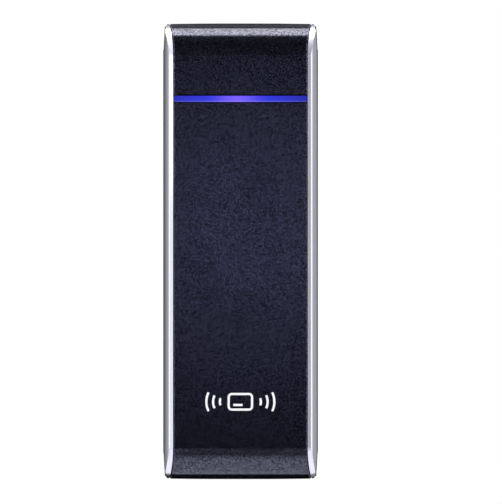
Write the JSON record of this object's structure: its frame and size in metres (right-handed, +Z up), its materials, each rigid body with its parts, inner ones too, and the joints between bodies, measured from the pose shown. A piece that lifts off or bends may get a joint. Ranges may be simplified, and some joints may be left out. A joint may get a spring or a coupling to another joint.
{
  "type": "proximity card reader",
  "caption": "Slim wall-mounted proximity card reader with a grained black front, lit status bar, bright side trims and a hook-on steel wall bracket.",
  "frame": {"origin": "centre of the wall bracket's back face, in the plane of the wall, on the reader's centre line and at the middle of its height", "axes": "+Y into the wall, so the reader faces -Y; +Z up; +X to the right as seen from the front"},
  "size_m": [0.0444, 0.025, 0.13],
  "materials": {
    "cover_black": "fine spark-eroded grain",
    "case_black": "fine matt",
    "trim_silver": "satin silver plating",
    "bar_violet": "lit translucent diffuser",
    "reflector_white": "matt",
    "seal_black": "matt",
    "seal_grey": "foam",
    "board_green": "solder mask",
    "lamp_clear": "moulded",
    "chip_black": "moulded",
    "copper": "bare track",
    "ferrite_grey": "sintered sheet",
    "header_ivory": "moulded",
    "pin_tin": "tinned",
    "button_black": "moulded",
    "plunger_white": "moulded acetal",
    "spring_steel": "drawn wire",
    "brass": "turned",
    "screw_steel": "stainless",
    "screw_black": "black oxide",
    "washer_nylon": "natural nylon",
    "bracket_steel": "zinc plated",
    "label_silver": "blank foil"
  },
  "bodies": {
    "bracket": {"wall_bracket": "bracket_steel"},
    "reader": {"front_cover": "cover_black", "light_bar": "bar_violet", "light_reflector": "reflector_white", "side_trim_left": "trim_silver", "side_trim_right": "trim_silver", "rear_case": "case_black", "case_gasket": "seal_black", "main_board": "board_green", "status_lamps": "lamp_clear", "processor_chip": "chip_black", "radio_chip": "chip_black", "board_passives": "chip_black", "buzzer": "chip_black", "antenna_board": "board_green", "antenna_coil": "copper", "ferrite_sheet": "ferrite_grey", "antenna_header": "chip_black", "antenna_pins": "pin_tin", "wire_headers": "header_ivory", "header_pins": "pin_tin", "reset_switch": "chip_black", "tamper_switch": "chip_black", "tamper_spring": "spring_steel", "lock_insert": "brass", "board_screws": "screw_steel", "case_screws": "screw_black", "rating_label": "label_silver", "bay_seal": "seal_grey"},
    "tamper": {"tamper_plunger": "plunger_white"},
    "reset": {"reset_button": "button_black"},
    "washer": {"lock_washer": "washer_nylon"},
    "screw": {"lock_screw": "screw_steel"}
  },
  "joints": [
    {"name": "reader_lift", "type": "slide", "parent": "bracket", "child": "reader", "axis": [0, 0, 1], "range_m": [0, 0.0055]},
    {"name": "tamper_travel", "type": "slide", "parent": "reader", "child": "tamper", "axis": [0, 1, 0], "range_m": [-0.0003, 0.0015], "stiffness_N_per_m": 200, "deforming": ["tamper_spring"]},
    {"name": "reset_press", "type": "slide", "parent": "reader", "child": "reset", "axis": [0, -1, 0], "range_m": [0, 0.00025], "stiffness_N_per_m": 3000},
    {"name": "screw_travel", "type": "slide", "parent": "bracket", "child": "washer", "axis": [0, 0, -1], "range_m": [0, 0.006]},
    {"name": "screw_turn", "type": "hinge", "parent": "washer", "child": "screw", "pos_m": [0, -0.0058, -0.0621], "axis": [0, 0, -1], "range_deg": [0, 4320]}
  ],
  "couplings": [
    {"joint": "screw_turn", "follows": "screw_travel", "rad_per_m": 12566}
  ]
}
